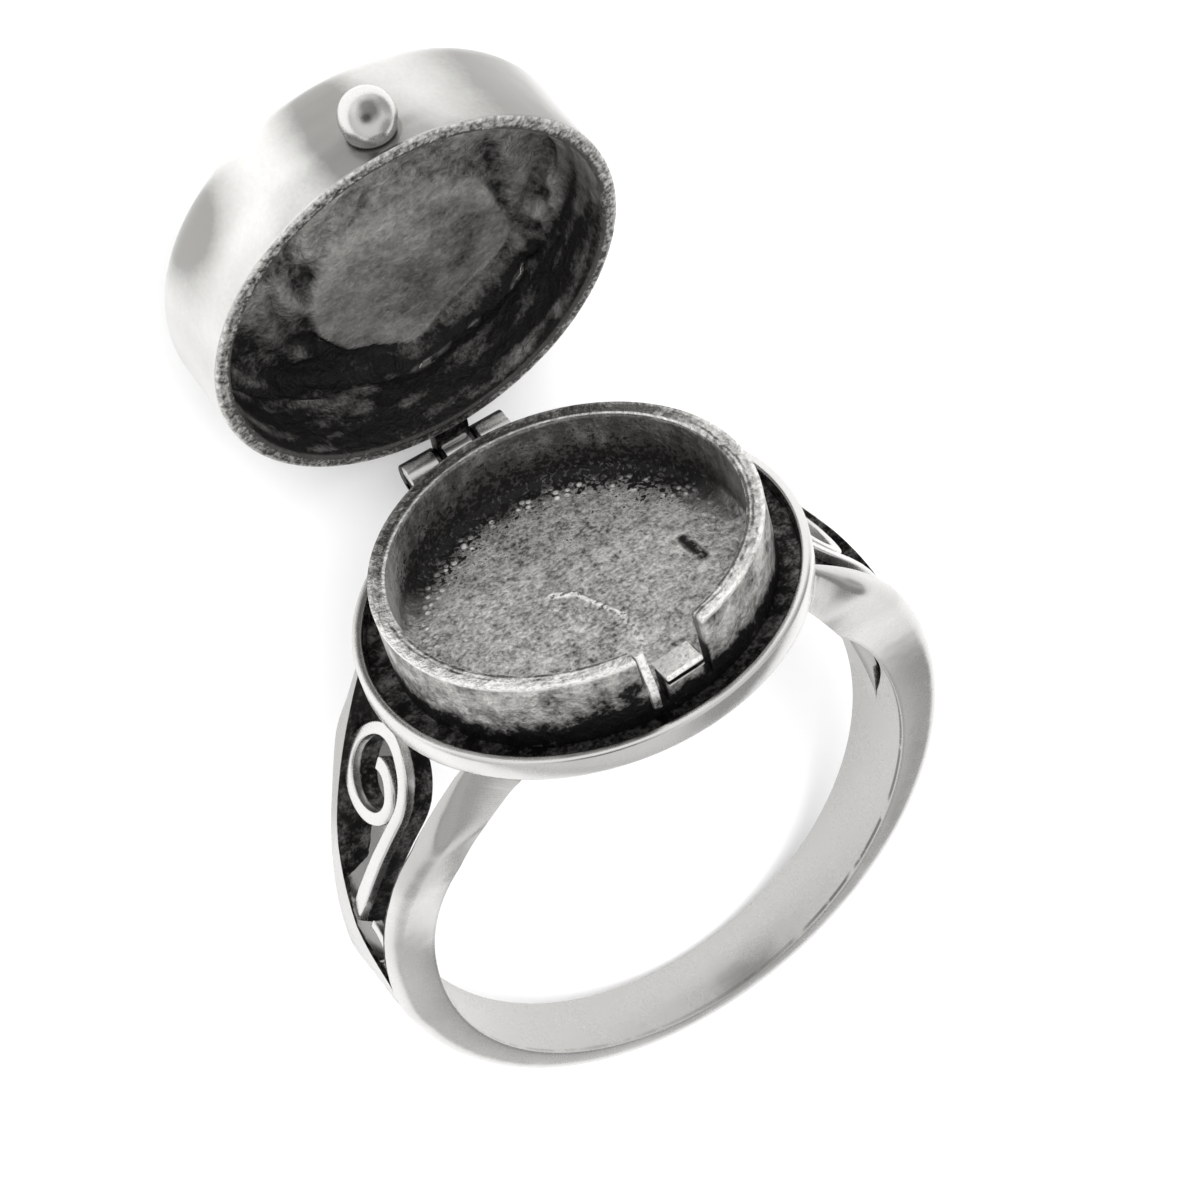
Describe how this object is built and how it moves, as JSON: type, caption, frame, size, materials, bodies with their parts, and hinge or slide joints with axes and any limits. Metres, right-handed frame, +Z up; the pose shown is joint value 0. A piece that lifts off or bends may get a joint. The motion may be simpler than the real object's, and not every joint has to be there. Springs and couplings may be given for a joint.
{
  "type": "locket ring",
  "caption": "Silver poison ring: split-shoulder band with scrolls, oval cup on a rimmed tray, hinged domed lid with a ball knob.",
  "frame": {"origin": "on the surface that the ring lies on, under the middle of its outline", "axes": "+Z up from the surface that it lies on, +X across the finger, and the hinge and open lid towards +Y"},
  "size_m": [0.0206, 0.0354, 0.0154],
  "materials": {
    "silver": "polished silver, worn, and oxidised in the hollows",
    "pin_silver": "drawn silver wire"
  },
  "bodies": {
    "ring": {"ring_body": "silver", "hinge_pin": "pin_silver"},
    "lid": {"lid": "silver"}
  },
  "joints": [
    {"name": "lid_hinge", "type": "hinge", "parent": "ring", "child": "lid", "pos_m": [0, 0.00434, 0.00208], "axis": [1, 0, 0], "range_deg": [-30, 77]}
  ]
}
